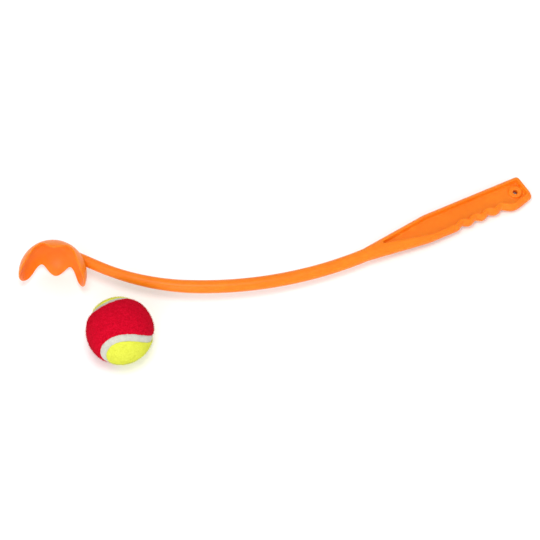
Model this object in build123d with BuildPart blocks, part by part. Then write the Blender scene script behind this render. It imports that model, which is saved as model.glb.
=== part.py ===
"""Ball launcher: a moulded arm with a scalloped cup at one end and a grip at the other, and its ball.

The launcher lies on a flat floor, on the lower tooth of its cup and the end of its grip.
The ball stands beside the cup. Lengths are in millimetres and angles in degrees.
"""

import os
from math import atan, cos, degrees, radians, sin, tan

from build123d import *

# Ball, with the place of its centre to the right of the cup's centre and in front of it
ball_diameter = 62.4
felt_thickness = 3.2
core_wall = 3.6
seam_width = 6.6
seam_sink = 0.6
seam_latitude = 51
seam_point_count = 24
seam_pole = (-0.54, -0.15, 0.83)
seam_start = (-0.345, -0.86, -0.377)
ball_right = 64.5
ball_front = 61.2

# Cup, which grips the felt, with its mouth to the front and turned a little to the left
felt_squeeze = 0.7
cup_wall = 1.4
mouth_turn = 5

# Quarter of the cup's rim: turn out of the arm's plane, then angle from the back of the cup
horn_tip_angles = (0, 101.6)
horn_shoulder_angles = (25, 97)
horn_side_angles = (41, 83)
horn_waist_angles = (47, 67)
notch_floor_angles = (57, 51.5)
tooth_flank_angles = (70, 56)
tooth_tip_angles = (90, 65.8)

# Shaft, a round bar bowed to the front, with its lowest point measured from the cup's centre
shaft_diameter = 12.5
neck_diameter = 10.2
bow_right = 133.2
bow_front = 11.2
neck_bend_radius = 219
taper_angle = 19.4
neck_angle = 24.8
root_length = 28
arm_bend_radius = 371
arm_angle = 25.8

# Grip, along its own axis from the end of the shaft to its slanted end, with the near edge below
grip_length = 173.1
fork_stagger = 7
near_edge_out = 7.4
far_edge_out = 8.4
pommel_from_end = 20.3
pommel_out = 11
pommel_angle = 15.1
fork_round = 32
pommel_round = 8
end_slant = 7
end_round = 2.5
end_overrun = 12

# Finger grooves along the near edge, counted from the pommel, with a straight lead up to the last
groove_count = 4
groove_from_end = 31.6
groove_pitch = 14.3
groove_lead = 29.65
groove_height = 4.4
groove_round = 8.25
crest_round = 1

# Recess on both faces of the grip, measured at its floor, the thin web and the hole to hang it by
web_thickness = 2.5
recess_overhang = 0.6
recess_draft = 12
recess_start = 20.5
recess_tip_width = 1.1
recess_lead = 26
recess_tip_round = 0.3
recess_corner_round = 1.2
end_wall = 4.2
boss_radius = 6.5
boss_rise = 2
hang_hole_diameter = 4.8
hang_hole_from_end = 11.3
hang_hole_out = -0.3

ball_radius = ball_diameter / 2
core_radius = ball_radius - felt_thickness
cup_inner_radius = ball_radius - felt_squeeze
cup_outer_radius = cup_inner_radius + cup_wall
shaft_radius = shaft_diameter / 2
neck_radius = neck_diameter / 2

# The arm's end and the slope at which the launcher lies
arm_end_right = bow_right + arm_bend_radius * sin(radians(arm_angle))
arm_end_back = arm_bend_radius * (1 - cos(radians(arm_angle))) - bow_front
grip_end_right = arm_end_right + (grip_length - end_round) * cos(radians(arm_angle))
tooth_drop = cup_outer_radius * sin(radians(tooth_tip_angles[1]))
lie_slope = atan((tooth_drop - shaft_radius) / grip_end_right)
cup_height = tooth_drop * cos(lie_slope)

cup_plane = Plane.XY.rotated((0, 0, -mouth_turn))
bow_plane = Plane.XY.shift_origin((bow_right, -bow_front))
grip_plane = Plane.XY.shift_origin((arm_end_right, arm_end_back)).rotated((0, 0, arm_angle))
ball_plane = Plane(origin=(ball_right, -ball_front, ball_radius), x_dir=seam_start, z_dir=seam_pole)


def radial_face(plane, directions, inner_radius, outer_radius):
    """Face that runs straight out from the plane's origin through a closed line of directions."""
    rims = []
    for radius in (inner_radius, outer_radius):
        points = [plane.from_local_coords(direction * radius) for direction in directions]
        rims.append(Edge.make_spline(points, periodic=True))
    return Face.make_surface_from_curves(*rims)


def rim_direction(turn, polar):
    """Direction to a point of the cup's rim, with x along the arm's plane and y to the back."""
    side = sin(radians(polar))
    return Vector(side * cos(radians(turn)), cos(radians(polar)), side * sin(radians(turn)))


def rim_directions():
    """Directions round the whole rim, from one quarter of it."""
    horn = [horn_tip_angles, horn_shoulder_angles, horn_side_angles, horn_waist_angles]
    tooth = [notch_floor_angles, tooth_flank_angles, tooth_tip_angles]
    quarter = horn + tooth
    upper = quarter + [(180 - turn, polar) for turn, polar in reversed(quarter[:-1])]
    lower = [(360 - turn, polar) for turn, polar in reversed(upper[1:-1])]
    return [rim_direction(turn, polar) for turn, polar in upper + lower]


def seam_direction(turn):
    """Direction to the middle of the ball's seam, which wanders between two opposite latitudes."""
    angle = radians(turn)
    long_wave = (1 + cos(radians(seam_latitude))) / 2
    short_wave = 1 - long_wave
    return Vector(
        long_wave * cos(angle) + short_wave * cos(3 * angle),
        long_wave * sin(angle) - short_wave * sin(3 * angle),
        sin(radians(seam_latitude)) * sin(2 * angle),
    )


def seam_edge_directions(side):
    """Directions along one edge of the seam: 1 and -1 are its two sides."""
    half_angle = seam_width / 2 / ball_radius
    step = 360 / seam_point_count
    directions = []
    for index in range(seam_point_count):
        middle = seam_direction(index * step)
        along = seam_direction(index * step + 1) - seam_direction(index * step - 1)
        across = along.cross(middle).normalized()
        directions.append(middle * cos(half_angle) + across * (side * sin(half_angle)))
    return directions


# Cup: a thin round shell, cut along its scalloped rim
cup_rim_face = radial_face(
    cup_plane, rim_directions(), cup_inner_radius - cup_wall, cup_outer_radius + cup_wall
)

with BuildPart(cup_plane) as cup_shell:
    Sphere(cup_outer_radius)
    Sphere(cup_inner_radius, mode=Mode.SUBTRACT)
    split(bisect_by=cup_rim_face, keep=Keep.BOTH)

with BuildPart() as cup:
    add(cup_shell.solids().sort_by(Axis(cup_plane.origin, cup_plane.y_dir))[-1])
cup.part.label = "cup"

# Shaft: an even bar from the grip to the bow, a taper to the neck, and a root on the cup
with BuildPart() as shaft:
    with BuildLine(bow_plane) as arm_path:
        JernArc((0, 0), (1, 0), arm_bend_radius, arm_angle)
    with BuildSketch(Plane(arm_path.line @ 0, z_dir=arm_path.line % 0)):
        Circle(shaft_radius)
    sweep(path=arm_path.line)
    with BuildLine(bow_plane) as taper_path:
        JernArc((0, 0), (-1, 0), neck_bend_radius, -taper_angle)
    with BuildSketch(Plane(taper_path.line @ 0, z_dir=taper_path.line % 0)):
        Circle(shaft_radius)
    with BuildSketch(Plane(taper_path.line @ 1, z_dir=taper_path.line % 1)):
        Circle(neck_radius)
    sweep(path=taper_path.line, multisection=True)
    with BuildLine(bow_plane) as root_path:
        neck_arc = JernArc(
            taper_path.line @ 1, taper_path.line % 1, neck_bend_radius, taper_angle - neck_angle
        )
        Line(neck_arc @ 1, neck_arc @ 1 + neck_arc % 1 * root_length)
    with BuildSketch(Plane(root_path.line @ 0, z_dir=root_path.line % 0)):
        Circle(neck_radius)
    sweep(path=root_path.line)
    with Locations(cup_plane):
        Sphere(cup_outer_radius, mode=Mode.SUBTRACT)
shaft.part.label = "shaft"

# Grip: a round bead led along both edges, filled to full thickness, then recessed on both faces
last_crest_place = grip_length - groove_from_end - (groove_count - 0.5) * groove_pitch
near_fork_length = last_crest_place - groove_lead
fork_length = near_fork_length + fork_stagger
far_corners = [(fork_length, far_edge_out)]
far_rounds = [fork_round]
near_corners = [(grip_length - pommel_from_end, -pommel_out)]
near_rounds = [pommel_round]
for groove in range(groove_count):
    groove_place = grip_length - groove_from_end - groove * groove_pitch
    near_corners.append((groove_place, groove_height - near_edge_out))
    near_corners.append((groove_place - groove_pitch / 2, -near_edge_out))
    near_rounds += [groove_round, crest_round]
near_corners.append((near_fork_length, -near_edge_out))
near_rounds.append(fork_round)
far_end = (grip_length + end_overrun, far_edge_out)
near_end_rise = (pommel_from_end + end_overrun) * tan(radians(pommel_angle))
near_end = (grip_length + end_overrun, near_end_rise - pommel_out)
edge_routes = [
    ([*far_corners, far_end], far_rounds, 1),
    ([*near_corners[::-1], near_end], near_rounds[::-1], -1),
]
end_origin = grip_plane.from_local_coords((grip_length, 0))
end_plane = Plane(end_origin, x_dir=grip_plane.x_dir, z_dir=grip_plane.z_dir).rotated((0, 0, end_slant))
recess_depth = shaft_radius - web_thickness / 2
recess_half_width = pommel_out + 2 * recess_overhang
recess_tip_far = recess_start * far_edge_out / fork_length + recess_overhang
recess_end_lean = recess_half_width * tan(radians(end_slant))
recess_bounds = [
    (recess_start, recess_half_width),
    (recess_start, recess_tip_far - recess_tip_width),
    (near_fork_length + recess_lead, -recess_half_width),
    (grip_length - end_wall + recess_end_lean, -recess_half_width),
    (grip_length - end_wall - recess_end_lean, recess_half_width),
]
boss_thickness = web_thickness + 2 * boss_rise

with BuildPart() as grip:
    for corners, rounds, side in edge_routes:
        with BuildLine(grip_plane) as bead_path:
            FilletPolyline((0, 0), *corners, radius=rounds)
        along = bead_path.line % 0
        outward = grip_plane.z_dir.cross(along) * side
        with BuildSketch(Plane(grip_plane.origin, x_dir=outward, z_dir=along)):
            with BuildLine():
                CenterArc((0, 0), shaft_radius, -90, 180)
                Line((0, -shaft_radius), (0, shaft_radius))
            make_face()
        sweep(path=bead_path.line)
    with BuildSketch(grip_plane) as outline:
        with BuildLine():
            FilletPolyline(
                (0, 0), *far_corners, far_end, near_end, *near_corners,
                radius=[0, *far_rounds, 0, 0, *near_rounds], close=True,
            )
        make_face()
    extrude(amount=shaft_radius, both=True)
    with Locations(grip_plane):
        Sphere(shaft_radius)
    split(bisect_by=Plane(grip_plane.origin, z_dir=grip_plane.x_dir), keep=Keep.TOP)
    split(bisect_by=Plane(end_plane.origin, z_dir=end_plane.x_dir), keep=Keep.BOTTOM)
    fillet(grip.faces().sort_by(Axis(grip_plane.origin, end_plane.x_dir))[-1].edges(), end_round)
    for face_side in (1, -1):
        with BuildSketch(grip_plane.offset(face_side * web_thickness / 2)) as recess:
            add(outline.sketch_local)
            offset(amount=recess_overhang)
            with BuildSketch(mode=Mode.INTERSECT):
                Polygon(*recess_bounds, align=None)
            fillet(recess.vertices().sort_by(Axis.X)[:2], radius=recess_tip_round)
            fillet(recess.vertices().sort_by(Axis.X)[-2:], radius=recess_corner_round)
        extrude(amount=face_side * recess_depth, taper=-recess_draft, mode=Mode.SUBTRACT)
    hang_hole = (grip_length - hang_hole_from_end, hang_hole_out)
    with BuildSketch(grip_plane):
        with Locations(hang_hole):
            Circle(boss_radius)
    extrude(amount=boss_thickness / 2, both=True)
    with BuildSketch(grip_plane):
        with Locations(hang_hole):
            Circle(hang_hole_diameter / 2)
    extrude(amount=boss_thickness, both=True, mode=Mode.SUBTRACT)
grip.part.label = "grip"

# Ball: two rubber half shells, two felt panels that interlock, and the bead of glue between them
with BuildPart(ball_plane) as core_front:
    Sphere(core_radius, arc_size1=0, align=None)
    Sphere(core_radius - core_wall, mode=Mode.SUBTRACT)
core_front.part.label = "ball_core_front"

with BuildPart(ball_plane) as core_back:
    Sphere(core_radius, arc_size2=0, align=None)
    Sphere(core_radius - core_wall, mode=Mode.SUBTRACT)
core_back.part.label = "ball_core_back"

red_edge_face, yellow_edge_face = [
    radial_face(ball_plane, seam_edge_directions(side), core_radius - core_wall, ball_radius + core_wall)
    for side in (-1, 1)
]

with BuildPart(ball_plane) as felt_shell:
    Sphere(ball_radius)
    Sphere(core_radius, mode=Mode.SUBTRACT)

with BuildPart(ball_plane) as glue_shell:
    Sphere(ball_radius - seam_sink)
    Sphere(core_radius, mode=Mode.SUBTRACT)

with BuildPart() as felt_red:
    add(felt_shell.part.split(red_edge_face, keep=Keep.ALL).sort_by(SortBy.AREA)[0])
felt_red.part.label = "ball_felt_red"

with BuildPart() as felt_yellow:
    add(felt_shell.part.split(yellow_edge_face, keep=Keep.ALL).sort_by(SortBy.AREA)[0])
felt_yellow.part.label = "ball_felt_yellow"

with BuildPart() as seam:
    add(glue_shell.part.split(red_edge_face, keep=Keep.ALL).sort_by(SortBy.AREA)[-1])
    add(seam.part.split(yellow_edge_face, keep=Keep.ALL).sort_by(SortBy.AREA)[0], mode=Mode.REPLACE)
seam.part.label = "ball_seam"

# The launcher is laid on the floor, and the middle of the whole footprint becomes the origin
lie = Location((0, 0, cup_height), (0, degrees(lie_slope), 0))
placed = [piece.part.moved(lie) for piece in (cup, shaft, grip)]
placed += [piece.part for piece in (core_front, core_back, felt_red, felt_yellow, seam)]
boxes = [solid.bounding_box() for solid in placed]
middle_x = (min(box.min.X for box in boxes) + max(box.max.X for box in boxes)) / 2
middle_y = (min(box.min.Y for box in boxes) + max(box.max.Y for box in boxes)) / 2

os.makedirs("parts", exist_ok=True)
for solid in placed:
    export_step(solid.moved(Location((-middle_x, -middle_y, 0))), f"parts/{solid.label}.step")
print("cup centre", -middle_x, -middle_y, cup_height, "slope", degrees(lie_slope))
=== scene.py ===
"""Looks for the ball launcher: a moulded arm with a scalloped cup and a grooved grip, and its felt ball.

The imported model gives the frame. Lengths are in metres, with MM for sizes written in millimetres.
"""

from math import atan2, cos, pi, radians, sin

import bmesh
import bpy
import numpy as np
from mathutils import Matrix, Vector, noise


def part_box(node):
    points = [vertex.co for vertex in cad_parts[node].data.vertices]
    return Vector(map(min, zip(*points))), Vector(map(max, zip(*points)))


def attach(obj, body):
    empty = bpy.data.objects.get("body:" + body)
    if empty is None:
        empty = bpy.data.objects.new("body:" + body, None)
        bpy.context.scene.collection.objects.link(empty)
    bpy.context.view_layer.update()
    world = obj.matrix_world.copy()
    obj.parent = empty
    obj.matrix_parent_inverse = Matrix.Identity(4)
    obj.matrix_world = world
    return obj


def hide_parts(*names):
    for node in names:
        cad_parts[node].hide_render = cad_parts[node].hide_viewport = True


bl_info = {
    "name": "Ball launcher",
    "version": (1, 0, 0),
    "blender": (4, 5, 0),
    "location": "3D View > Sidebar > Ball launcher",
    "description": "Builds the finished look of a ball launcher and its felt ball",
    "category": "Object",
}

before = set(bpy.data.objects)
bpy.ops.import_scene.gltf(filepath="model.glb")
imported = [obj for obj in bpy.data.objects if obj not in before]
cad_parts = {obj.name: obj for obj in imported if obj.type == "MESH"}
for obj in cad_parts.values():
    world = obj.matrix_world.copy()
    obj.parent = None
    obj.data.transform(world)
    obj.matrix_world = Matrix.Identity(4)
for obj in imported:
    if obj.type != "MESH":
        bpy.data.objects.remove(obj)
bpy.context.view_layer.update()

MM = 0.001

# Points closer than the first are merged, and edges shorter than the second are dropped
MERGE_GAP = 0.002 * MM
SLIVER = 0.001 * MM

# How finely each form is divided
RIM_POINTS = 360
CUP_WALL_STEPS = 40
CUP_LIP_STEPS = 8
BEND_STEPS = 80
BAR_SIDES = 64
TRIM_SEGMENTS = 128
TRIM_RINGS = 64
SEAM_POINTS = 480
SEAM_WIDTH_STEPS = 16
FELT_EDGE_STEPS = 6
FELT_TOP_STEPS = 44


def colour(red, green, blue):
    """Linear colour from the three numbers of a screen colour, 0 to 255."""
    parts = []
    for value in (red, green, blue):
        share = value / 255
        parts.append(share / 12.92 if share <= 0.04045 else ((share + 0.055) / 1.055) ** 2.4)
    return (*parts, 1.0)


def box_of(*nodes):
    """Lowest and highest corner of the box round some nodes of the frame."""
    corners = [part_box(node) for node in nodes]
    low = Vector(min(pair[0][axis] for pair in corners) for axis in range(3))
    high = Vector(max(pair[1][axis] for pair in corners) for axis in range(3))
    return low, high


# The cup reaches its full radius to both sides and at the back, and is the same above and below its middle
cup_low, cup_high = box_of("cup")
CUP_RADIUS = (cup_high.x - cup_low.x) / 2
CUP_CENTRE = Vector(((cup_low.x + cup_high.x) / 2, cup_high.y - CUP_RADIUS, (cup_low.z + cup_high.z) / 2))

# The ball's two core halves make a full sphere
core_low, core_high = box_of("ball_core_front", "ball_core_back")
CORE_RADIUS = (core_high.x - core_low.x) / 2
BALL_CENTRE = (core_low + core_high) / 2
felt_low, felt_high = box_of("ball_felt_red", "ball_felt_yellow")
BALL_RADIUS = (felt_high.x - felt_low.x) / 2

# How the launcher lies: its slope to the grip, and the turn of the cup's mouth to the left
LIE_SLOPE = radians(2.918)
MOUTH_TURN = radians(5)
LAUNCHER_PLACE = Matrix.Translation(CUP_CENTRE) @ Matrix.Rotation(LIE_SLOPE, 4, "Y")

# Quarter of the cup's rim, in degrees: turn out of the arm's plane, then angle from the back of the cup
RIM_QUARTER = [(0, 101.6), (25, 97), (41, 83), (47, 67), (57, 51.5), (70, 56), (90, 65.8)]

# Ends of the bar: how far it reaches into the grip and how much slimmer it is there, in millimetres,
# and the straight root that runs into the cup
GRIP_TUCKS = ((4, 0.4), (1.5, 0.02))
ROOT_STEPS = 14
ROOT_STEP = 2 * MM

# Grip's moulded edges: strength and rounds of the smoothing, and the fewest faces of a sound skin
SOFTEN_STRENGTH = 0.5
SOFTEN_ROUNDS = 5
FEWEST_SKIN_FACES = 1000

# Seam of the ball: its pole and its start, the latitude that it swings to, and the turn, in radians,
# over which its direction is found to each side
SEAM_POLE = Vector((-0.54, -0.15, 0.83)).normalized()
SEAM_START = Vector((-0.345, -0.86, -0.377))
SEAM_LATITUDE = radians(51)
SEAM_STEP = 0.01

# Seam's surface: how far it falls at its sides, and the height and fineness of its ripples
SEAM_FALL = 0.35 * MM
SEAM_RIPPLE = 0.12 * MM
RIPPLE_FINENESS = 16

# Each felt panel's spine ends here, measured from the middle of the panel
SPINE_END = radians(93)

# Felt's lumps and ragged edge: fineness of the coarse and the fine noise, and the share of each
LUMP_FINENESS = (7, 23)
LUMP_SHARES = (0.6, 0.4)
EDGE_FINENESS = (13, 31)
EDGE_SHARES = (0.6, 0.6)

# Loose fibres: largest tilt and turn in radians, bend as a share of the length, and range of sizes
FIBRE_TILT = (1.25, 1.25, 3.14)
FIBRE_BEND = 0.45
FIBRE_SIZES = (0.5, 1.25)

# Lamps, which face the middle of the part
KEY_PLACE = (-0.1, -0.25, 1.5)
FRONT_PLACE = (-0.5, -1.57, 0.8)

# Camera, from the photograph: its place, its tilt and roll, and its focal length in widths of the picture
CAMERA_PLACE = Vector((-8.4, -1044.1, 1981.9)) * MM
CAMERA_ELEVATION = radians(62.05)
CAMERA_ROLL = radians(-0.41)
FOCAL_WIDTHS = 2360 / 540

# Width of the camera's sensor, in millimetres, and how far it sees, in metres
SENSOR_WIDTH = 36
CAMERA_REACH = 50


class LauncherSizes(bpy.types.PropertyGroup):
    """Sizes and colours of the moulded launcher."""

    cup_wall: bpy.props.FloatProperty(
        name="Cup wall", description="Thickness of the cup's wall", default=1.4 * MM, unit="LENGTH")
    shaft_diameter: bpy.props.FloatProperty(
        name="Shaft diameter", description="Diameter of the bar at the grip", default=12.5 * MM,
        unit="LENGTH")
    neck_diameter: bpy.props.FloatProperty(
        name="Neck diameter", description="Diameter of the bar at the cup", default=10.2 * MM,
        unit="LENGTH")
    bow_right: bpy.props.FloatProperty(
        name="Bow right", description="Lowest point of the bow, right of the cup's centre",
        default=133.2 * MM, unit="LENGTH")
    bow_front: bpy.props.FloatProperty(
        name="Bow front", description="Lowest point of the bow, in front of the cup's centre",
        default=11.2 * MM, unit="LENGTH")
    neck_bend: bpy.props.FloatProperty(
        name="Neck bend", description="Radius of the bar's bend towards the cup", default=219 * MM,
        unit="LENGTH")
    arm_bend: bpy.props.FloatProperty(
        name="Arm bend", description="Radius of the bar's bend towards the grip", default=371 * MM,
        unit="LENGTH")
    neck_angle: bpy.props.FloatProperty(
        name="Neck angle", description="How far the bar turns towards the cup", default=radians(24.8),
        subtype="ANGLE")
    taper_angle: bpy.props.FloatProperty(
        name="Taper angle", description="How far along the neck's bend the bar narrows",
        default=radians(19.4), subtype="ANGLE")
    arm_angle: bpy.props.FloatProperty(
        name="Arm angle", description="How far the bar turns towards the grip", default=radians(25.8),
        subtype="ANGLE")
    edge_softness: bpy.props.FloatProperty(
        name="Edge softness", description="Grid at which the grip's moulded edges are rounded",
        default=0.55 * MM, unit="LENGTH")
    plastic: bpy.props.FloatVectorProperty(
        name="Plastic", description="Colour of the moulded plastic", subtype="COLOR", size=4,
        default=colour(240, 131, 23))
    plastic_shade: bpy.props.FloatVectorProperty(
        name="Plastic shade", description="Deeper tone that drifts through the plastic", subtype="COLOR",
        size=4, default=colour(236, 121, 18))


class BallSizes(bpy.types.PropertyGroup):
    """Sizes and colours of the felt ball."""

    seam_width: bpy.props.FloatProperty(
        name="Seam width", description="Width of the glued seam between the felts", default=6.6 * MM,
        unit="LENGTH")
    seam_sink: bpy.props.FloatProperty(
        name="Seam sink", description="Depth of the seam below the felt", default=0.6 * MM, unit="LENGTH")
    felt_round: bpy.props.FloatProperty(
        name="Felt edge", description="Radius at which the felt turns down to the seam", default=1.3 * MM,
        unit="LENGTH")
    felt_unevenness: bpy.props.FloatProperty(
        name="Felt unevenness", description="Height of the soft lumps in the felt", default=0.22 * MM,
        unit="LENGTH")
    felt_ragged: bpy.props.FloatProperty(
        name="Ragged edge", description="How far the felt's cut edge strays to each side", default=0.5 * MM,
        unit="LENGTH")
    fibre_count: bpy.props.IntProperty(
        name="Fibres", description="Number of loose fibres on each felt panel", default=11000, min=0)
    fibre_length: bpy.props.FloatProperty(
        name="Fibre length", description="Length of a loose fibre", default=1.7 * MM, unit="LENGTH")
    fibre_width: bpy.props.FloatProperty(
        name="Fibre width", description="Width of a loose fibre at its root", default=0.13 * MM,
        unit="LENGTH")
    red_felt: bpy.props.FloatVectorProperty(
        name="Red felt", description="Colour of the red felt", subtype="COLOR", size=4,
        default=colour(225, 16, 52))
    red_shade: bpy.props.FloatVectorProperty(
        name="Red shade", description="Deeper tone in the red felt", subtype="COLOR", size=4,
        default=colour(181, 0, 24))
    yellow_felt: bpy.props.FloatVectorProperty(
        name="Yellow felt", description="Colour of the yellow felt", subtype="COLOR", size=4,
        default=colour(227, 231, 90))
    yellow_shade: bpy.props.FloatVectorProperty(
        name="Yellow shade", description="Deeper tone in the yellow felt", subtype="COLOR", size=4,
        default=colour(214, 218, 66))
    seam: bpy.props.FloatVectorProperty(
        name="Seam", description="Colour of the glued seam", subtype="COLOR", size=4,
        default=colour(203, 201, 189))
    seam_shade: bpy.props.FloatVectorProperty(
        name="Seam shade", description="Greyer tone in the seam", subtype="COLOR", size=4,
        default=colour(181, 180, 169))
    rubber: bpy.props.FloatVectorProperty(
        name="Rubber", description="Colour of the rubber core", subtype="COLOR", size=4,
        default=colour(40, 40, 40))
    rubber_shade: bpy.props.FloatVectorProperty(
        name="Rubber shade", description="Dusty tone in the rubber", subtype="COLOR", size=4,
        default=colour(62, 60, 58))


class StageSettings(bpy.types.PropertyGroup):
    """Floor and light."""

    floor: bpy.props.FloatVectorProperty(
        name="Floor", description="Colour of the floor", subtype="COLOR", size=4,
        default=colour(246, 246, 246))
    floor_size: bpy.props.FloatProperty(
        name="Floor size", description="Width of the floor", default=8, unit="LENGTH")
    floor_glow: bpy.props.FloatProperty(
        name="Floor glow", description="White that the floor shows to the camera above its own shade",
        default=0.09)
    front_fill: bpy.props.FloatProperty(
        name="Front fill", description="Strength of the light from all round, in front", default=1.0)
    back_fill: bpy.props.FloatProperty(
        name="Back fill", description="Strength of the light from all round, behind", default=0.67)
    key_power: bpy.props.FloatProperty(
        name="Key light", description="Power of the soft lamp overhead", default=7.5, unit="POWER")
    key_size: bpy.props.FloatProperty(
        name="Key size", description="Width of the soft lamp overhead", default=0.45, unit="LENGTH")
    front_power: bpy.props.FloatProperty(
        name="Front light", description="Power of the broad lamp in front, a little to the left",
        default=8.5, unit="POWER")
    front_size: bpy.props.FloatProperty(
        name="Front size", description="Width of the broad lamp in front", default=0.8, unit="LENGTH")


def mesh_piece(name, points, faces):
    """Object with a smooth mesh, its doubles merged and its faces turned outwards."""
    mesh = bpy.data.meshes.new(name)
    mesh.from_pydata([tuple(point) for point in points], [], faces)
    work = bmesh.new()
    work.from_mesh(mesh)
    bmesh.ops.remove_doubles(work, verts=work.verts, dist=MERGE_GAP)
    bmesh.ops.dissolve_degenerate(work, edges=work.edges, dist=SLIVER)
    bmesh.ops.recalc_face_normals(work, faces=work.faces)
    for face in work.faces:
        face.smooth = True
    work.to_mesh(mesh)
    work.free()
    piece = bpy.data.objects.new(name, mesh)
    bpy.context.scene.collection.objects.link(piece)
    return piece


def grid_faces(rows, columns):
    """Quads of a grid that closes round its columns."""
    faces = []
    for row in range(rows - 1):
        start = row * columns
        above = start + columns
        for column in range(columns):
            following = (column + 1) % columns
            faces.append((start + column, start + following, above + following, above + column))
    return faces


def applied(piece):
    """Plain mesh piece in place of one with modifiers."""
    bpy.context.view_layer.update()
    finished = piece.evaluated_get(bpy.context.evaluated_depsgraph_get())
    mesh = bpy.data.meshes.new_from_object(finished)
    mesh.name = piece.name
    piece.modifiers.clear()
    old = piece.data
    piece.data = mesh
    bpy.data.meshes.remove(old)
    return piece


def join_frame(piece, body, slot, *nodes):
    """Carries a finished piece on a body in place of some nodes."""
    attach(piece, body)
    for node in nodes:
        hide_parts(node)


def add_node(tree, kind, **values):
    """Node with its settings, and its inputs by name under the key inputs."""
    made = tree.nodes.new(kind)
    for key, value in values.pop("inputs", {}).items():
        made.inputs[key].default_value = value
    for key, value in values.items():
        setattr(made, key, value)
    return made


def new_group(name, kind, inputs, outputs):
    """Empty node group with named sockets, its input node and its output node."""
    tree = bpy.data.node_groups.new(name, kind)
    for direction, sockets in (("INPUT", inputs), ("OUTPUT", outputs)):
        for label, socket in sockets:
            tree.interface.new_socket(label, in_out=direction, socket_type=socket)
    return tree, tree.nodes.new("NodeGroupInput"), tree.nodes.new("NodeGroupOutput")


def tone_drift_group():
    """Group that lets a colour drift towards a second tone in soft patches and fine specks."""
    found = bpy.data.node_groups.get("Tone drift")
    if found:
        return found
    tree, given, result = new_group(
        "Tone drift", "ShaderNodeTree",
        [("Vector", "NodeSocketVector"), ("Colour", "NodeSocketColor"), ("Shade", "NodeSocketColor"),
         ("Patches", "NodeSocketFloat"), ("Specks", "NodeSocketFloat")],
        [("Colour", "NodeSocketColor")])
    patches = add_node(tree, "ShaderNodeTexNoise", inputs={"Detail": 3.0, "Roughness": 0.55})
    specks = add_node(tree, "ShaderNodeTexNoise", inputs={"Detail": 2.0, "Roughness": 0.6})
    both = add_node(tree, "ShaderNodeMath", operation="MULTIPLY")
    spread = add_node(tree, "ShaderNodeMapRange", inputs={"From Min": 0.12, "From Max": 0.42})
    mixed = add_node(tree, "ShaderNodeMix", data_type="RGBA")
    links = tree.links
    links.new(given.outputs["Vector"], patches.inputs["Vector"])
    links.new(given.outputs["Vector"], specks.inputs["Vector"])
    links.new(given.outputs["Patches"], patches.inputs["Scale"])
    links.new(given.outputs["Specks"], specks.inputs["Scale"])
    links.new(patches.outputs["Fac"], both.inputs[0])
    links.new(specks.outputs["Fac"], both.inputs[1])
    links.new(both.outputs["Value"], spread.inputs["Value"])
    links.new(spread.outputs["Result"], mixed.inputs["Factor"])
    links.new(given.outputs["Shade"], mixed.inputs["A"])
    links.new(given.outputs["Colour"], mixed.inputs["B"])
    links.new(mixed.outputs["Result"], result.inputs["Colour"])
    return tree


def surface_grain_group():
    """Group that gives a fine height and a roughness that wanders with it."""
    found = bpy.data.node_groups.get("Surface grain")
    if found:
        return found
    tree, given, result = new_group(
        "Surface grain", "ShaderNodeTree",
        [("Vector", "NodeSocketVector"), ("Grain", "NodeSocketFloat"), ("Smoothest", "NodeSocketFloat"),
         ("Roughest", "NodeSocketFloat")],
        [("Roughness", "NodeSocketFloat"), ("Height", "NodeSocketFloat")])
    grain = add_node(tree, "ShaderNodeTexNoise", inputs={"Detail": 4.0, "Roughness": 0.6})
    spread = add_node(tree, "ShaderNodeMapRange", inputs={"From Min": 0.3, "From Max": 0.7})
    links = tree.links
    links.new(given.outputs["Vector"], grain.inputs["Vector"])
    links.new(given.outputs["Grain"], grain.inputs["Scale"])
    links.new(grain.outputs["Fac"], spread.inputs["Value"])
    links.new(given.outputs["Smoothest"], spread.inputs["To Min"])
    links.new(given.outputs["Roughest"], spread.inputs["To Max"])
    links.new(spread.outputs["Result"], result.inputs["Roughness"])
    links.new(grain.outputs["Fac"], result.inputs["Height"])
    return tree


def finish_material(name, tone, shade, patches, specks, grain, roughness, bump, shader_values):
    """Material with a drifting tone and a fine grain. Patch, speck and grain sizes are counts per metre."""
    material = bpy.data.materials.new(name)
    material.use_nodes = True
    material.diffuse_color = tone
    tree = material.node_tree
    shader = tree.nodes["Principled BSDF"]
    place = add_node(tree, "ShaderNodeTexCoord")
    drift = add_node(tree, "ShaderNodeGroup", node_tree=tone_drift_group())
    fine = add_node(tree, "ShaderNodeGroup", node_tree=surface_grain_group())
    relief = add_node(tree, "ShaderNodeBump", inputs={"Strength": bump[0], "Distance": bump[1]})
    for label, value in (("Colour", tone), ("Shade", shade), ("Patches", patches), ("Specks", specks)):
        drift.inputs[label].default_value = value
    for label, value in (("Grain", grain), ("Smoothest", roughness[0]), ("Roughest", roughness[1])):
        fine.inputs[label].default_value = value
    for label, value in shader_values.items():
        shader.inputs[label].default_value = value
    links = tree.links
    links.new(place.outputs["Object"], drift.inputs["Vector"])
    links.new(place.outputs["Object"], fine.inputs["Vector"])
    links.new(drift.outputs["Colour"], shader.inputs["Base Color"])
    links.new(fine.outputs["Roughness"], shader.inputs["Roughness"])
    links.new(fine.outputs["Height"], relief.inputs["Height"])
    links.new(relief.outputs["Normal"], shader.inputs["Normal"])
    return material


def launcher_plastic(sizes):
    """Satin moulded plastic that lets a little light into its skin."""
    return bpy.data.materials.get("moulded_orange") or finish_material(
        "moulded_orange", sizes.plastic, sizes.plastic_shade, patches=28, specks=160, grain=1400,
        roughness=(0.3, 0.42), bump=(0.12, 0.05 * MM),
        shader_values={"IOR": 1.45, "Specular IOR Level": 0.25, "Subsurface Weight": 0.35,
                       "Subsurface Radius": (1.0, 0.4, 0.1), "Subsurface Scale": 4 * MM})


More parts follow.
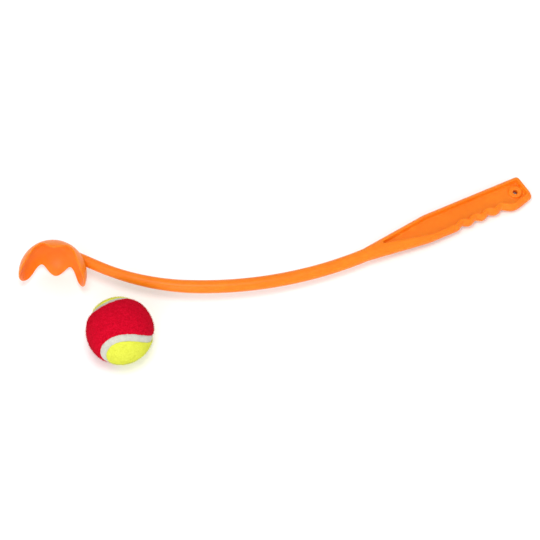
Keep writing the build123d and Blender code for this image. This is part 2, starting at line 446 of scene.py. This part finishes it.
def felt_material(name, tone, shade):
    """Napped felt: matt, uneven and bright at its edges."""
    return finish_material(
        name, tone, shade, patches=750, specks=2400, grain=2200, roughness=(0.85, 1.0),
        bump=(0.5, 0.4 * MM),
        shader_values={"Sheen Weight": 0.06, "Sheen Roughness": 0.5, "Sheen Tint": tone,
                       "Specular IOR Level": 0.05})


def closed_spline(points, count):
    """Points spread evenly along a smooth closed curve through the given ones."""
    knots = np.array(points, float)
    total = len(knots)
    spans = np.linalg.norm(np.roll(knots, -1, axis=0) - knots, axis=1)
    before = np.roll(spans, 1)
    matrix = np.zeros((total, total))
    wanted = np.zeros((total, 3))
    for index in range(total):
        last, following = (index - 1) % total, (index + 1) % total
        matrix[index, last] += before[index]
        matrix[index, index] += 2 * (before[index] + spans[index])
        matrix[index, following] += spans[index]
        rise = (knots[following] - knots[index]) / spans[index]
        fall = (knots[index] - knots[last]) / before[index]
        wanted[index] = 6 * (rise - fall)
    bend = np.linalg.solve(matrix, wanted)
    ends = np.cumsum(spans)
    curve = []
    for distance in np.linspace(0, ends[-1], count, endpoint=False):
        index = int(np.searchsorted(ends, distance, side="right"))
        following = (index + 1) % total
        span = spans[index]
        right = (distance - (ends[index] - span)) / span
        left = 1 - right
        straight = left * knots[index] + right * knots[following]
        curved = ((left**3 - left) * bend[index] + (right**3 - right) * bend[following]) * span**2 / 6
        curve.append(straight + curved)
    return np.array(curve)


def rim_turns_and_angles(count):
    """Turn and angle from the back of the cup, at points spread along the whole rim."""
    upper = RIM_QUARTER + [(180 - turn, polar) for turn, polar in reversed(RIM_QUARTER[:-1])]
    lower = [(360 - turn, polar) for turn, polar in reversed(upper[1:-1])]
    knots = []
    for turn, polar in upper + lower:
        side = sin(radians(polar))
        knots.append((side * cos(radians(turn)), cos(radians(polar)), side * sin(radians(turn))))
    curve = closed_spline(knots, count)
    turns = np.arctan2(curve[:, 2], curve[:, 0])
    polars = np.arctan2(np.hypot(curve[:, 0], curve[:, 2]), curve[:, 1])
    return turns, polars


class BALL_LAUNCHER_OT_cup(bpy.types.Operator):
    """Make the scalloped cup with a rounded rim"""

    bl_idname = "ball_launcher.cup"
    bl_label = "Cup"

    def execute(self, context):
        sizes = context.scene.launcher_sizes
        half_wall = sizes.cup_wall / 2
        middle_radius = CUP_RADIUS - half_wall
        lip = half_wall / middle_radius
        turns, polars = rim_turns_and_angles(RIM_POINTS)
        wall_rows = [row / CUP_WALL_STEPS for row in range(CUP_WALL_STEPS + 1)]
        lip_turns = [pi * step / CUP_LIP_STEPS for step in range(1, CUP_LIP_STEPS)]
        profile = [(share, 0.0, CUP_RADIUS) for share in wall_rows]
        profile += [(1.0, lip * sin(turn), middle_radius + half_wall * cos(turn)) for turn in lip_turns]
        profile += [(share, 0.0, CUP_RADIUS - sizes.cup_wall) for share in reversed(wall_rows)]
        place = LAUNCHER_PLACE @ Matrix.Rotation(-MOUTH_TURN, 4, "Z")
        points = []
        for share, reach, radius in profile:
            for turn, polar in zip(turns, polars):
                angle = (polar - lip) * share + reach
                side = sin(angle)
                points.append(place @ (Vector((side * cos(turn), cos(angle), side * sin(turn))) * radius))
        cup = mesh_piece("cup_moulding", points, grid_faces(len(profile), len(turns)))
        cup.data.materials.append(launcher_plastic(sizes))
        join_frame(cup, "launcher", "launcher_plastic", "cup")
        return {"FINISHED"}


def shaft_route(sizes):
    """Points along the bar's middle, from inside the grip to inside the cup, each with its radius."""
    full, slim = sizes.shaft_diameter / 2, sizes.neck_diameter / 2
    bow = Vector((sizes.bow_right, -sizes.bow_front, 0))
    arm_end = bow + Vector((sin(sizes.arm_angle), 1 - cos(sizes.arm_angle), 0)) * sizes.arm_bend
    grip_way = Vector((cos(sizes.arm_angle), sin(sizes.arm_angle), 0))
    route = []
    for inside, shrink in GRIP_TUCKS:
        route.append((arm_end + grip_way * inside * MM, full - shrink * MM))
    for step in range(BEND_STEPS, 0, -1):
        angle = sizes.arm_angle * step / BEND_STEPS
        route.append((bow + Vector((sin(angle), 1 - cos(angle), 0)) * sizes.arm_bend, full))
    for step in range(BEND_STEPS + 1):
        angle = sizes.neck_angle * step / BEND_STEPS
        radius = full + (slim - full) * min(angle / sizes.taper_angle, 1)
        route.append((bow + Vector((-sin(angle), 1 - cos(angle), 0)) * sizes.neck_bend, radius))
    neck_end = route[-1][0]
    neck_way = Vector((-cos(sizes.neck_angle), sin(sizes.neck_angle), 0))
    for step in range(1, ROOT_STEPS + 1):
        route.append((neck_end + neck_way * step * ROOT_STEP, slim))
    return route


def swept_bar_tree(material):
    """Geometry nodes that sweep a round bar along a route and trim it with the cup's sphere."""
    tree, given, result = new_group(
        "Swept bar", "GeometryNodeTree",
        [("Route", "NodeSocketGeometry"), ("Sides", "NodeSocketInt"), ("Trim Centre", "NodeSocketVector"),
         ("Trim Radius", "NodeSocketFloat")],
        [("Bar", "NodeSocketGeometry")])
    curve = add_node(tree, "GeometryNodeMeshToCurve")
    radius = add_node(
        tree, "GeometryNodeInputNamedAttribute", data_type="FLOAT", inputs={"Name": "bar_radius"})
    ring = add_node(tree, "GeometryNodeCurvePrimitiveCircle", inputs={"Radius": 1.0})
    bar = add_node(tree, "GeometryNodeCurveToMesh", inputs={"Fill Caps": True})
    ball = add_node(
        tree, "GeometryNodeMeshUVSphere", inputs={"Segments": TRIM_SEGMENTS, "Rings": TRIM_RINGS})
    moved = add_node(tree, "GeometryNodeTransform")
    trim = add_node(tree, "GeometryNodeMeshBoolean", operation="DIFFERENCE", solver="EXACT")
    realised = add_node(tree, "GeometryNodeRealizeInstances")
    painted = add_node(tree, "GeometryNodeSetMaterial", inputs={"Material": material})
    links = tree.links
    links.new(given.outputs["Route"], curve.inputs["Mesh"])
    links.new(given.outputs["Sides"], ring.inputs["Resolution"])
    links.new(curve.outputs["Curve"], bar.inputs["Curve"])
    links.new(radius.outputs["Attribute"], bar.inputs["Scale"])
    links.new(ring.outputs["Curve"], bar.inputs["Profile Curve"])
    links.new(given.outputs["Trim Radius"], ball.inputs["Radius"])
    links.new(ball.outputs["Mesh"], moved.inputs["Geometry"])
    links.new(given.outputs["Trim Centre"], moved.inputs["Translation"])
    links.new(bar.outputs["Mesh"], trim.inputs["Mesh 1"])
    links.new(moved.outputs["Geometry"], trim.inputs["Mesh 2"])
    links.new(trim.outputs["Mesh"], realised.inputs["Geometry"])
    links.new(realised.outputs["Geometry"], painted.inputs["Geometry"])
    links.new(painted.outputs["Geometry"], result.inputs["Bar"])
    return tree


def run_tree(piece, tree, values):
    """Puts a geometry tree on a piece with its inputs by name, and makes the result a plain mesh."""
    modifier = piece.modifiers.new(tree.name, "NODES")
    modifier.node_group = tree
    for item in tree.interface.items_tree:
        if item.in_out == "INPUT" and item.name in values:
            modifier[item.identifier] = values[item.name]
    return applied(piece)


class BALL_LAUNCHER_OT_shaft(bpy.types.Operator):
    """Make the bowed bar between the cup and the grip"""

    bl_idname = "ball_launcher.shaft"
    bl_label = "Shaft"

    def execute(self, context):
        sizes = context.scene.launcher_sizes
        route = shaft_route(sizes)
        mesh = bpy.data.meshes.new("shaft_moulding")
        points = [LAUNCHER_PLACE @ point for point, _ in route]
        mesh.from_pydata(points, [(index, index + 1) for index in range(len(points) - 1)], [])
        mesh.attributes.new("bar_radius", "FLOAT", "POINT")
        mesh.attributes["bar_radius"].data.foreach_set("value", [radius for _, radius in route])
        shaft = bpy.data.objects.new("shaft_moulding", mesh)
        context.scene.collection.objects.link(shaft)
        material = launcher_plastic(sizes)
        run_tree(shaft, swept_bar_tree(material), {
            "Sides": BAR_SIDES, "Trim Centre": CUP_CENTRE, "Trim Radius": CUP_RADIUS - sizes.cup_wall / 2})
        shaft.data.shade_smooth()
        if not shaft.data.polygons:
            raise RuntimeError("the shaft came out empty")
        join_frame(shaft, "launcher", "launcher_plastic", "shaft")
        return {"FINISHED"}


class BALL_LAUNCHER_OT_grip(bpy.types.Operator):
    """Make the grip with the soft edges of a moulding"""

    bl_idname = "ball_launcher.grip"
    bl_label = "Grip"

    def execute(self, context):
        sizes = context.scene.launcher_sizes
        work = bmesh.new()
        work.from_mesh(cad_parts["grip"].data)
        bmesh.ops.remove_doubles(work, verts=work.verts, dist=MERGE_GAP)
        mesh = bpy.data.meshes.new("grip_moulding")
        work.to_mesh(mesh)
        work.free()
        grip = bpy.data.objects.new("grip_moulding", mesh)
        context.scene.collection.objects.link(grip)
        skin = grip.modifiers.new("Skin", "REMESH")
        skin.mode = "VOXEL"
        skin.voxel_size = sizes.edge_softness
        soften = grip.modifiers.new("Soften", "SMOOTH")
        soften.factor = SOFTEN_STRENGTH
        soften.iterations = SOFTEN_ROUNDS
        applied(grip)
        if len(grip.data.polygons) < FEWEST_SKIN_FACES:
            raise RuntimeError("the grip's skin came out empty")
        grip.data.shade_smooth()
        grip.data.materials.clear()
        grip.data.materials.append(launcher_plastic(sizes))
        join_frame(grip, "launcher", "launcher_plastic", "grip")
        return {"FINISHED"}


class BALL_LAUNCHER_OT_ball_core(bpy.types.Operator):
    """Give the rubber core inside the ball its finish"""

    bl_idname = "ball_launcher.ball_core"
    bl_label = "Ball core"

    def execute(self, context):
        sizes = context.scene.ball_sizes
        material = finish_material(
            "moulded_rubber", sizes.rubber, sizes.rubber_shade, patches=90, specks=700, grain=900,
            roughness=(0.55, 0.75), bump=(0.3, 0.1 * MM), shader_values={"Specular IOR Level": 0.35})
        for name in ("ball_core_front", "ball_core_back"):
            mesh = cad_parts[name].data
            mesh.materials.clear()
            mesh.materials.append(material)
        return {"FINISHED"}


def seam_axes():
    """The seam's own axes, as columns."""
    forward = (SEAM_START - SEAM_POLE * SEAM_START.dot(SEAM_POLE)).normalized()
    return Matrix((forward, SEAM_POLE.cross(forward), SEAM_POLE)).transposed()


def seam_middle(turn):
    """Direction to the middle of the seam, which swings between two opposite latitudes."""
    long_wave = (1 + cos(SEAM_LATITUDE)) / 2
    short_wave = 1 - long_wave
    return Vector((
        long_wave * cos(turn) + short_wave * cos(3 * turn),
        long_wave * sin(turn) - short_wave * sin(3 * turn),
        sin(SEAM_LATITUDE) * sin(2 * turn)))


def beside_seam(turn, angle):
    """Direction at an angle to the side of the seam's middle."""
    middle = seam_middle(turn)
    along = seam_middle(turn + SEAM_STEP) - seam_middle(turn - SEAM_STEP)
    return middle * cos(angle) + along.cross(middle).normalized() * sin(angle)


def lumps(direction, height):
    """Soft unevenness of the felt, in metres."""
    coarse = noise.noise(direction * LUMP_FINENESS[0])
    fine = noise.noise(direction * LUMP_FINENESS[1] + Vector((5, 1, 3)))
    return height * (LUMP_SHARES[0] * coarse + LUMP_SHARES[1] * fine)


def felt_panel(name, side, sizes):
    """One dumbbell panel of felt: side is 1 for the panel under the seam's pole and -1 for the other."""
    axes = seam_axes()
    pole = Vector((0, 0, -side))
    lobe = Vector((1, side, 0)).normalized()
    half_angle = sizes.seam_width / 2 / BALL_RADIUS
    turns = [radians(45 * side) + 2 * pi * step / SEAM_POINTS for step in range(SEAM_POINTS)]
    edges = []
    for turn in turns:
        along = seam_middle(turn) * side
        coarse = EDGE_SHARES[0] * noise.noise(along * EDGE_FINENESS[0])
        fine = EDGE_SHARES[1] * noise.noise(along * EDGE_FINENESS[1] + Vector((2, 7, 4)))
        stray = sizes.felt_ragged * (coarse + fine) / BALL_RADIUS
        edges.append(beside_seam(turn, side * (half_angle + stray)))
    reaches = [atan2(edge.dot(lobe), edge.dot(pole)) for edge in edges]
    furthest = max(reaches)
    spine = []
    for reach in reaches:
        angle = SPINE_END * sin(pi / 2 * reach / furthest)
        spine.append(pole * cos(angle) + lobe * sin(angle))
    widths = [edge.angle(middle) * BALL_RADIUS for edge, middle in zip(edges, spine)]
    turn_down = sizes.felt_round
    rows = [(1 - row / FELT_EDGE_STEPS, 0.0, CORE_RADIUS) for row in range(FELT_EDGE_STEPS + 1)]
    for step in range(FELT_EDGE_STEPS + 1):
        bend = pi / 2 * step / FELT_EDGE_STEPS
        rows.append((0.0, turn_down * (1 - cos(bend)), BALL_RADIUS - turn_down * (1 - sin(bend))))
    for step in range(1, FELT_TOP_STEPS + 1):
        share = step / FELT_TOP_STEPS
        rows.append((share, turn_down * (1 - share), BALL_RADIUS))
    points = []
    for share, inset, radius in rows:
        for edge, middle, width in zip(edges, spine, widths):
            direction = edge.slerp(middle, min(share + inset / width, 1.0))
            outside = max(0.0, (radius - BALL_RADIUS + turn_down) / turn_down)
            height = radius + outside * lumps(direction, sizes.felt_unevenness)
            points.append(BALL_CENTRE + (axes @ direction) * height)
    panel = mesh_piece(name, points, grid_faces(len(rows), len(turns)))
    nap_start = BALL_RADIUS - turn_down
    nap = [float((vertex.co - BALL_CENTRE).length > nap_start) for vertex in panel.data.vertices]
    panel.data.attributes.new("nap", "FLOAT", "POINT")
    panel.data.attributes["nap"].data.foreach_set("value", nap)
    return panel


def felt_nap_tree(name, material):
    """Geometry nodes that stand loose bent fibres on a felt panel, clear of the floor.

    A random value keeps its range for vectors in sockets 0 and 1, and for numbers in sockets 2 and 3.
    Its number comes out of socket 1.
    """
    tree, given, result = new_group(
        name, "GeometryNodeTree",
        [("Felt", "NodeSocketGeometry"), ("Per Area", "NodeSocketFloat"), ("Length", "NodeSocketFloat"),
         ("Width", "NodeSocketFloat"), ("Seed", "NodeSocketInt")],
        [("Felt", "NodeSocketGeometry")])
    nap = add_node(tree, "GeometryNodeInputNamedAttribute", data_type="FLOAT", inputs={"Name": "nap"})
    place = add_node(tree, "GeometryNodeInputPosition")
    parts = add_node(tree, "ShaderNodeSeparateXYZ")
    above = add_node(tree, "FunctionNodeCompare", data_type="FLOAT", operation="GREATER_THAN")
    density = add_node(tree, "ShaderNodeMath", operation="MULTIPLY")
    raised = add_node(tree, "ShaderNodeMath", operation="MULTIPLY")
    scatter = add_node(tree, "GeometryNodeDistributePointsOnFaces", distribute_method="RANDOM")
    fibre = add_node(tree, "GeometryNodeMeshCone", fill_type="NGON",
                     inputs={"Vertices": 3, "Side Segments": 2, "Radius Top": 0.0})
    bent = add_node(tree, "GeometryNodeSetPosition")
    spot = add_node(tree, "GeometryNodeInputPosition")
    spot_parts = add_node(tree, "ShaderNodeSeparateXYZ")
    share = add_node(tree, "ShaderNodeMath", operation="DIVIDE")
    square = add_node(tree, "ShaderNodeMath", operation="POWER", inputs={1: 2.0})
    sideways = add_node(tree, "ShaderNodeMath", operation="MULTIPLY")
    amount = add_node(tree, "ShaderNodeMath", operation="MULTIPLY", inputs={1: FIBRE_BEND})
    shift = add_node(tree, "ShaderNodeCombineXYZ")
    tilt = add_node(tree, "FunctionNodeRandomValue", data_type="FLOAT_VECTOR",
                    inputs={0: [-angle for angle in FIBRE_TILT], 1: FIBRE_TILT})
    turned = add_node(tree, "FunctionNodeRotateRotation", rotation_space="LOCAL")
    tilted = add_node(tree, "FunctionNodeEulerToRotation")
    size = add_node(tree, "FunctionNodeRandomValue", data_type="FLOAT",
                    inputs={2: FIBRE_SIZES[0], 3: FIBRE_SIZES[1]})
    placed = add_node(tree, "GeometryNodeInstanceOnPoints")
    realised = add_node(tree, "GeometryNodeRealizeInstances")
    joined = add_node(tree, "GeometryNodeJoinGeometry")
    painted = add_node(tree, "GeometryNodeSetMaterial", inputs={"Material": material})
    links = tree.links
    links.new(place.outputs["Position"], parts.inputs["Vector"])
    links.new(parts.outputs["Z"], above.inputs["A"])
    links.new(given.outputs["Length"], above.inputs["B"])
    links.new(nap.outputs["Attribute"], density.inputs[0])
    links.new(given.outputs["Per Area"], density.inputs[1])
    links.new(density.outputs["Value"], raised.inputs[0])
    links.new(above.outputs["Result"], raised.inputs[1])
    links.new(given.outputs["Felt"], scatter.inputs["Mesh"])
    links.new(raised.outputs["Value"], scatter.inputs["Density"])
    links.new(given.outputs["Seed"], scatter.inputs["Seed"])
    links.new(given.outputs["Length"], fibre.inputs["Depth"])
    links.new(given.outputs["Width"], fibre.inputs["Radius Bottom"])
    links.new(spot.outputs["Position"], spot_parts.inputs["Vector"])
    links.new(spot_parts.outputs["Z"], share.inputs[0])
    links.new(given.outputs["Length"], share.inputs[1])
    links.new(share.outputs["Value"], square.inputs[0])
    links.new(given.outputs["Length"], amount.inputs[0])
    links.new(square.outputs["Value"], sideways.inputs[0])
    links.new(amount.outputs["Value"], sideways.inputs[1])
    links.new(sideways.outputs["Value"], shift.inputs["X"])
    links.new(fibre.outputs["Mesh"], bent.inputs["Geometry"])
    links.new(shift.outputs["Vector"], bent.inputs["Offset"])
    links.new(given.outputs["Seed"], tilt.inputs["Seed"])
    links.new(tilt.outputs["Value"], tilted.inputs["Euler"])
    links.new(scatter.outputs["Rotation"], turned.inputs["Rotation"])
    links.new(tilted.outputs["Rotation"], turned.inputs["Rotate By"])
    links.new(given.outputs["Seed"], size.inputs["Seed"])
    links.new(scatter.outputs["Points"], placed.inputs["Points"])
    links.new(bent.outputs["Geometry"], placed.inputs["Instance"])
    links.new(turned.outputs["Rotation"], placed.inputs["Rotation"])
    links.new(size.outputs[1], placed.inputs["Scale"])
    links.new(placed.outputs["Instances"], realised.inputs["Geometry"])
    links.new(realised.outputs["Geometry"], joined.inputs["Geometry"])
    links.new(given.outputs["Felt"], joined.inputs["Geometry"])
    links.new(joined.outputs["Geometry"], painted.inputs["Geometry"])
    links.new(painted.outputs["Geometry"], result.inputs["Felt"])
    return tree


class BALL_LAUNCHER_OT_felt_panels(bpy.types.Operator):
    """Make the two felt panels of the ball, with their nap"""

    bl_idname = "ball_launcher.felt_panels"
    bl_label = "Felt panels"

    def execute(self, context):
        sizes = context.scene.ball_sizes
        panel_area = 2 * pi * BALL_RADIUS**2
        felts = (
            ("red_felt", "ball_felt_red", -1, 3, sizes.red_felt, sizes.red_shade),
            ("yellow_felt", "ball_felt_yellow", 1, 4, sizes.yellow_felt, sizes.yellow_shade),
        )
        for name, node, side, seed, tone, shade in felts:
            material = felt_material("napped_" + name, tone, shade)
            panel = felt_panel(name + "_panel", side, sizes)
            run_tree(panel, felt_nap_tree(name + "_nap", material), {
                "Per Area": sizes.fibre_count / panel_area, "Length": sizes.fibre_length,
                "Width": sizes.fibre_width / 2, "Seed": seed})
            panel.data.shade_smooth()
            join_frame(panel, "ball", name, node)
        return {"FINISHED"}


class BALL_LAUNCHER_OT_seam(bpy.types.Operator):
    """Make the glued seam between the felt panels"""

    bl_idname = "ball_launcher.seam"
    bl_label = "Seam"

    def execute(self, context):
        sizes = context.scene.ball_sizes
        axes = seam_axes()
        half_angle = (sizes.seam_width / 2 + sizes.felt_ragged) / BALL_RADIUS
        top = BALL_RADIUS - sizes.seam_sink
        across = [-1 + 2 * step / SEAM_WIDTH_STEPS for step in range(SEAM_WIDTH_STEPS + 1)]
        rows = [(place, top - SEAM_FALL * place**4) for place in across]
        rows += [(place, CORE_RADIUS) for place in (1.0, 0.0, -1.0)]
        rows.append(rows[0])
        turns = [2 * pi * step / SEAM_POINTS for step in range(SEAM_POINTS)]
        points = []
        for place, radius in rows:
            for turn in turns:
                direction = beside_seam(turn, place * half_angle)
                ripple = SEAM_RIPPLE if radius > CORE_RADIUS else 0.0
                height = radius + noise.noise(direction * RIPPLE_FINENESS) * ripple
                points.append(BALL_CENTRE + (axes @ direction) * height)
        seam = mesh_piece("glued_seam", points, grid_faces(len(rows), len(turns)))
        seam.data.materials.append(finish_material(
            "dried_cement", sizes.seam, sizes.seam_shade, patches=180, specks=900, grain=1600,
            roughness=(0.6, 0.8), bump=(0.3, 0.15 * MM), shader_values={"Specular IOR Level": 0.3}))
        join_frame(seam, "ball", "seam_glue", "ball_seam")
        return {"FINISHED"}


def white_to_camera(tree):
    """Number that is 1 for what the camera sees straight, in gloss or through glass, or else 0."""
    path = add_node(tree, "ShaderNodeLightPath")
    first = add_node(tree, "ShaderNodeMath", operation="MAXIMUM")
    both = add_node(tree, "ShaderNodeMath", operation="MAXIMUM")
    tree.links.new(path.outputs["Is Camera Ray"], first.inputs[0])
    tree.links.new(path.outputs["Is Glossy Ray"], first.inputs[1])
    tree.links.new(first.outputs["Value"], both.inputs[0])
    tree.links.new(path.outputs["Is Transmission Ray"], both.inputs[1])
    return both.outputs["Value"]


def floor_material(stage):
    """Pale floor that keeps shadows and reads as white where nothing shades it."""
    material = bpy.data.materials.new("pale_floor")
    material.use_nodes = True
    tree = material.node_tree
    shader = tree.nodes["Principled BSDF"]
    shader.inputs["Base Color"].default_value = stage.floor
    shader.inputs["Roughness"].default_value = 0.9
    shader.inputs["Specular IOR Level"].default_value = 0.1
    glow = add_node(tree, "ShaderNodeMath", operation="MULTIPLY", inputs={1: stage.floor_glow})
    tree.links.new(white_to_camera(tree), glow.inputs[0])
    shader.inputs["Emission Color"].default_value = (1, 1, 1, 1)
    tree.links.new(glow.outputs["Value"], shader.inputs["Emission Strength"])
    return material


def set_world(stage):
    """White backdrop for the camera and a softer white light for the object, stronger in front."""
    world = bpy.data.worlds.new("studio")
    bpy.context.scene.world = world
    world.use_nodes = True
    tree = world.node_tree
    backdrop = tree.nodes["Background"]
    backdrop.inputs["Color"].default_value = (1, 1, 1, 1)
    place = add_node(tree, "ShaderNodeTexCoord")
    parts = add_node(tree, "ShaderNodeSeparateXYZ")
    lean = add_node(tree, "ShaderNodeMapRange", inputs={
        "From Min": -1.0, "To Min": stage.front_fill, "To Max": stage.back_fill})
    level = add_node(tree, "ShaderNodeMapRange", inputs={"To Max": 1.0})
    tree.links.new(place.outputs["Generated"], parts.inputs["Vector"])
    tree.links.new(parts.outputs["Y"], lean.inputs["Value"])
    tree.links.new(lean.outputs["Result"], level.inputs["To Min"])
    tree.links.new(white_to_camera(tree), level.inputs["Value"])
    tree.links.new(level.outputs["Result"], backdrop.inputs["Strength"])


def add_lamp(name, place, power, size):
    """Square soft lamp that faces the middle of the part."""
    light = bpy.data.lights.new(name, "AREA")
    light.energy = power
    light.size = size
    lamp = bpy.data.objects.new(name, light)
    lamp.location = place
    lamp.rotation_euler = (-Vector(place)).to_track_quat("-Z", "Y").to_euler()
    bpy.context.scene.collection.objects.link(lamp)


def add_camera():
    """Camera at the photograph's place."""
    data = bpy.data.cameras.new("photo_camera")
    data.sensor_width = SENSOR_WIDTH
    data.lens = SENSOR_WIDTH * FOCAL_WIDTHS
    data.clip_end = CAMERA_REACH
    camera = bpy.data.objects.new("photo_camera", data)
    tilt = Matrix.Rotation(pi / 2 - CAMERA_ELEVATION, 4, "X")
    camera.matrix_world = Matrix.Translation(CAMERA_PLACE) @ tilt @ Matrix.Rotation(CAMERA_ROLL, 4, "Z")
    bpy.context.scene.collection.objects.link(camera)
    bpy.context.scene.camera = camera


class BALL_LAUNCHER_OT_stage(bpy.types.Operator):
    """Set the floor, the light and the camera"""

    bl_idname = "ball_launcher.stage"
    bl_label = "Stage"

    def execute(self, context):
        stage = context.scene.stage_settings
        half = stage.floor_size / 2
        mesh = bpy.data.meshes.new("floor")
        corners = [(-half, -half, 0), (half, -half, 0), (half, half, 0), (-half, half, 0)]
        mesh.from_pydata(corners, [], [(0, 1, 2, 3)])
        mesh.materials.append(floor_material(stage))
        floor = bpy.data.objects.new("floor", mesh)
        context.scene.collection.objects.link(floor)
        set_world(stage)
        add_lamp("key_lamp", KEY_PLACE, stage.key_power, stage.key_size)
        add_lamp("front_lamp", FRONT_PLACE, stage.front_power, stage.front_size)
        add_camera()
        context.scene.view_settings.view_transform = "Standard"
        return {"FINISHED"}


class BALL_LAUNCHER_PT_panel(bpy.types.Panel):
    """Panel that lists the pieces and the stage"""

    bl_idname = "BALL_LAUNCHER_PT_panel"
    bl_label = "Ball launcher"
    bl_space_type = "VIEW_3D"
    bl_region_type = "UI"
    bl_category = "Ball launcher"

    def draw(self, context):
        for operator in OPERATORS:
            self.layout.operator(operator.bl_idname)
        scene = context.scene
        for settings in (scene.launcher_sizes, scene.ball_sizes, scene.stage_settings):
            column = self.layout.column(align=True)
            for name in settings.__annotations__:
                column.prop(settings, name)


OPERATORS = (
    BALL_LAUNCHER_OT_cup,
    BALL_LAUNCHER_OT_shaft,
    BALL_LAUNCHER_OT_grip,
    BALL_LAUNCHER_OT_ball_core,
    BALL_LAUNCHER_OT_felt_panels,
    BALL_LAUNCHER_OT_seam,
    BALL_LAUNCHER_OT_stage,
)
CLASSES = (LauncherSizes, BallSizes, StageSettings, *OPERATORS, BALL_LAUNCHER_PT_panel)


def register():
    """Registers the classes and their settings."""
    for kind in CLASSES:
        bpy.utils.register_class(kind)
    bpy.types.Scene.launcher_sizes = bpy.props.PointerProperty(type=LauncherSizes)
    bpy.types.Scene.ball_sizes = bpy.props.PointerProperty(type=BallSizes)
    bpy.types.Scene.stage_settings = bpy.props.PointerProperty(type=StageSettings)


def unregister():
    """Removes the settings and the classes."""
    del bpy.types.Scene.stage_settings
    del bpy.types.Scene.ball_sizes
    del bpy.types.Scene.launcher_sizes
    for kind in reversed(CLASSES):
        bpy.utils.unregister_class(kind)


def main():
    """Builds every piece and the stage."""
    register()
    bpy.ops.ball_launcher.cup()
    bpy.ops.ball_launcher.shaft()
    bpy.ops.ball_launcher.grip()
    bpy.ops.ball_launcher.ball_core()
    bpy.ops.ball_launcher.felt_panels()
    bpy.ops.ball_launcher.seam()
    bpy.ops.ball_launcher.stage()


if __name__ == "__main__":
    main()
